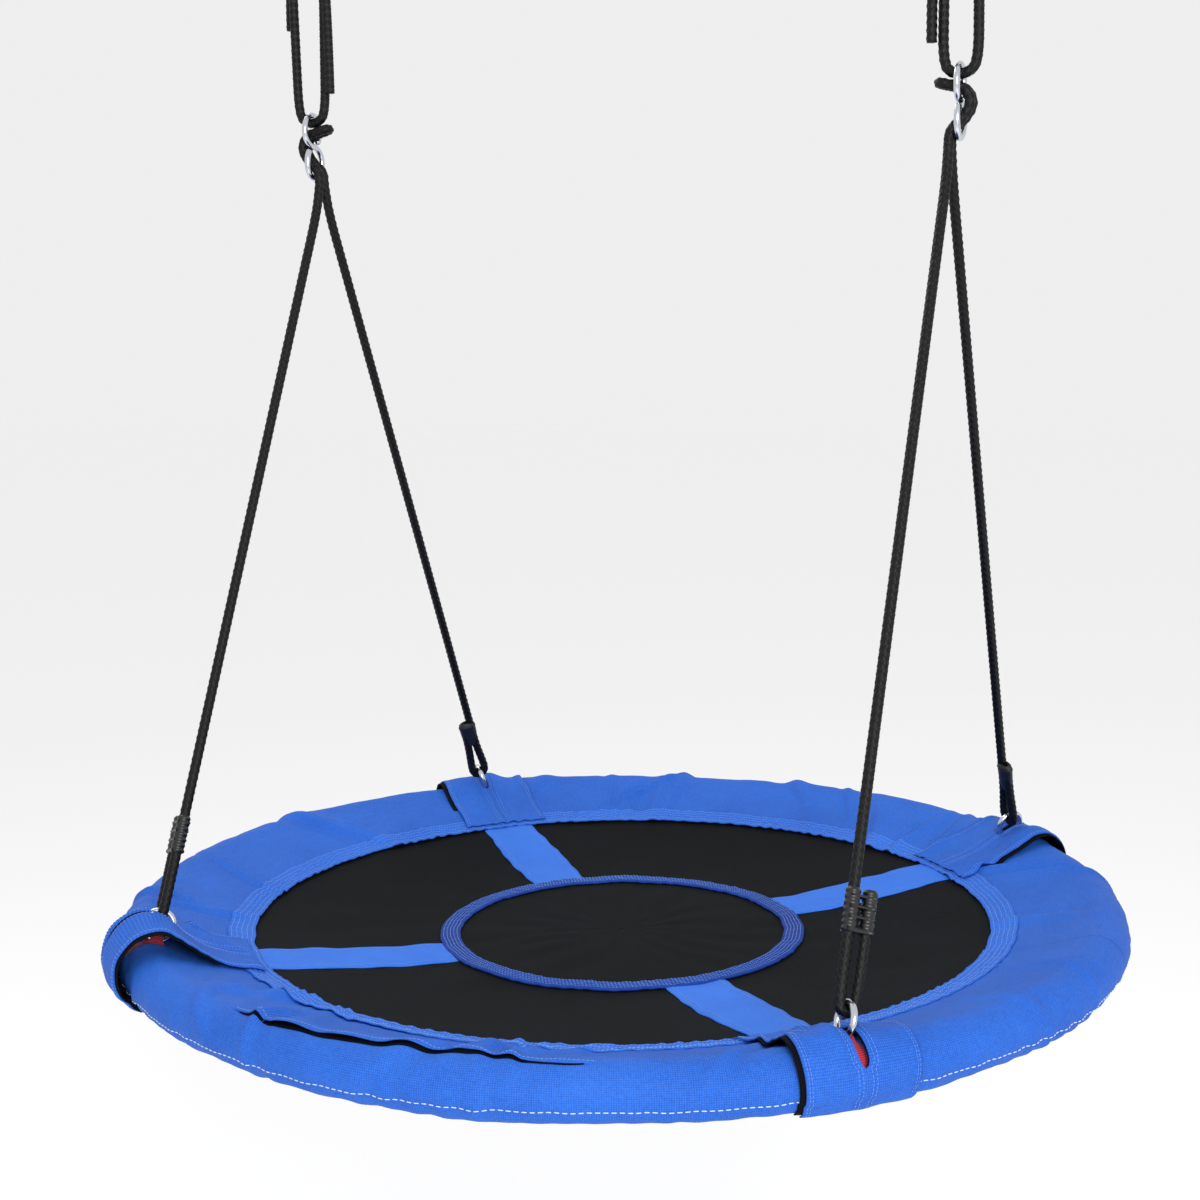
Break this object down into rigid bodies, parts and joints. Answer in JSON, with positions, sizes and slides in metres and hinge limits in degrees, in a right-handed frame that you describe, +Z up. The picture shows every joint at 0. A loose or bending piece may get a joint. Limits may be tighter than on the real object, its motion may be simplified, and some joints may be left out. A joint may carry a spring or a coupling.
{
  "type": "saucer nest swing",
  "caption": "Round padded saucer seat with a steel rim, hung at four corners from two V-shaped rope pairs on figure-eight hooks.",
  "frame": {"origin": "middle of the beam line, between the tops of the two hanging slings", "axes": "+Z up, +X to the right along the beam, +Y to the back, across the way it swings"},
  "size_m": [1, 1, 1.0054],
  "materials": {
    "black_rope": "matte",
    "zinc_steel": "satin",
    "ring_steel": "satin",
    "black_moulding": "satin",
    "black_sleeve": "satin",
    "coated_tube": "satin",
    "grey_foam": "matte",
    "blue_fabric": "matte",
    "blue_band": "matte",
    "deep_blue_band": "matte",
    "black_fabric": "matte",
    "black_lining": "matte",
    "red_webbing": "matte"
  },
  "bodies": {
    "hangers": {"hanging_sling_left": "black_rope", "hanging_sling_right": "black_rope"},
    "hook_left": {"figure_eight_hook_left": "zinc_steel", "hitch_rope_left": "black_rope"},
    "ropes_left": {"leg_rope_front_left": "black_rope", "leg_rope_rear_left": "black_rope", "splice_sleeve_left": "black_sleeve"},
    "adjuster_left": {"rope_adjuster_left": "black_moulding"},
    "ring_front_left": {"steel_ring_front_left": "ring_steel"},
    "ring_rear_left": {"steel_ring_rear_left": "ring_steel"},
    "hook_right": {"figure_eight_hook_right": "zinc_steel", "hitch_rope_right": "black_rope"},
    "ropes_right": {"leg_rope_front_right": "black_rope", "leg_rope_rear_right": "black_rope", "splice_sleeve_right": "black_sleeve"},
    "adjuster_right": {"rope_adjuster_right": "black_moulding"},
    "ring_front_right": {"steel_ring_front_right": "ring_steel"},
    "ring_rear_right": {"steel_ring_rear_right": "ring_steel"},
    "seat": {"centre_ring_trim": "deep_blue_band", "corner_tab_front_left": "blue_fabric", "corner_tab_front_right": "blue_fabric", "corner_tab_rear_left": "blue_fabric", "corner_tab_rear_right": "blue_fabric", "foam_pad_front": "grey_foam", "foam_pad_left": "grey_foam", "foam_pad_rear": "grey_foam", "foam_pad_right": "grey_foam", "hem_band": "blue_band", "radial_strap_front_left": "blue_fabric", "radial_strap_front_right": "blue_fabric", "radial_strap_rear_left": "blue_fabric", "radial_strap_rear_right": "blue_fabric", "rim_cover": "blue_fabric", "rim_joint_screws": "zinc_steel", "rim_tube_front_left": "coated_tube", "rim_tube_front_right": "coated_tube", "rim_tube_rear_left": "coated_tube", "rim_tube_rear_right": "coated_tube", "seat_panel": "black_fabric", "tab_lining_front_left": "black_lining", "tab_lining_front_right": "black_lining", "tab_lining_rear_left": "black_lining", "tab_lining_rear_right": "black_lining", "webbing_sling_front_left": "red_webbing", "webbing_sling_front_right": "red_webbing", "webbing_sling_rear_left": "red_webbing", "webbing_sling_rear_right": "red_webbing"}
  },
  "joints": [
    {"name": "swing_left", "type": "hinge", "parent": "hangers", "child": "hook_left", "pos_m": [-0.339, 0, -0.1761], "axis": [1, 0, 0], "range_deg": [-40, 40]},
    {"name": "sway_left", "type": "hinge", "parent": "hook_left", "child": "ropes_left", "pos_m": [-0.33, 0, -0.238], "axis": [0, 1, 0], "range_deg": [-12, 12]},
    {"name": "adjuster_slide_left", "type": "slide", "parent": "ropes_left", "child": "adjuster_left", "axis": [-0.0075, 0.4268, 0.9043], "range_m": [-0.03, 0.12]},
    {"name": "ring_turn_front_left", "type": "hinge", "parent": "ropes_left", "child": "ring_front_left", "pos_m": [-0.3301, -0.32404, -0.94135], "axis": [0.7348, -0.611, 0.2945], "continuous": true},
    {"name": "ring_turn_rear_left", "type": "hinge", "parent": "ropes_left", "child": "ring_rear_left", "pos_m": [-0.33007, 0.32407, -0.9413], "axis": [0.7522, 0.5952, 0.2826], "continuous": true},
    {"name": "swing_right", "type": "hinge", "parent": "hangers", "child": "hook_right", "pos_m": [0.339, 0, -0.1761], "axis": [1, 0, 0], "range_deg": [-40, 40]},
    {"name": "sway_right", "type": "hinge", "parent": "hook_right", "child": "ropes_right", "pos_m": [0.33, 0, -0.238], "axis": [0, 1, 0], "range_deg": [-12, 12]},
    {"name": "adjuster_slide_right", "type": "slide", "parent": "ropes_right", "child": "adjuster_right", "axis": [0.0075, 0.4268, 0.9043], "range_m": [-0.03, 0.12]},
    {"name": "ring_turn_front_right", "type": "hinge", "parent": "ropes_right", "child": "ring_front_right", "pos_m": [0.3301, -0.32404, -0.94135], "axis": [-0.7348, -0.611, 0.2945], "continuous": true},
    {"name": "ring_turn_rear_right", "type": "hinge", "parent": "ropes_right", "child": "ring_rear_right", "pos_m": [0.33007, 0.32407, -0.9413], "axis": [-0.7522, 0.5952, 0.2826], "continuous": true},
    {"name": "seat_level", "type": "hinge", "parent": "ropes_left", "child": "seat", "pos_m": [-0.33, 0, -0.954], "axis": [0, 1, 0], "range_deg": [-12, 12]}
  ],
  "couplings": [
    {"joint": "swing_right", "follows": "swing_left", "ratio": 1},
    {"joint": "sway_right", "follows": "sway_left", "ratio": 1},
    {"joint": "seat_level", "follows": "sway_left", "ratio": -1}
  ]
}
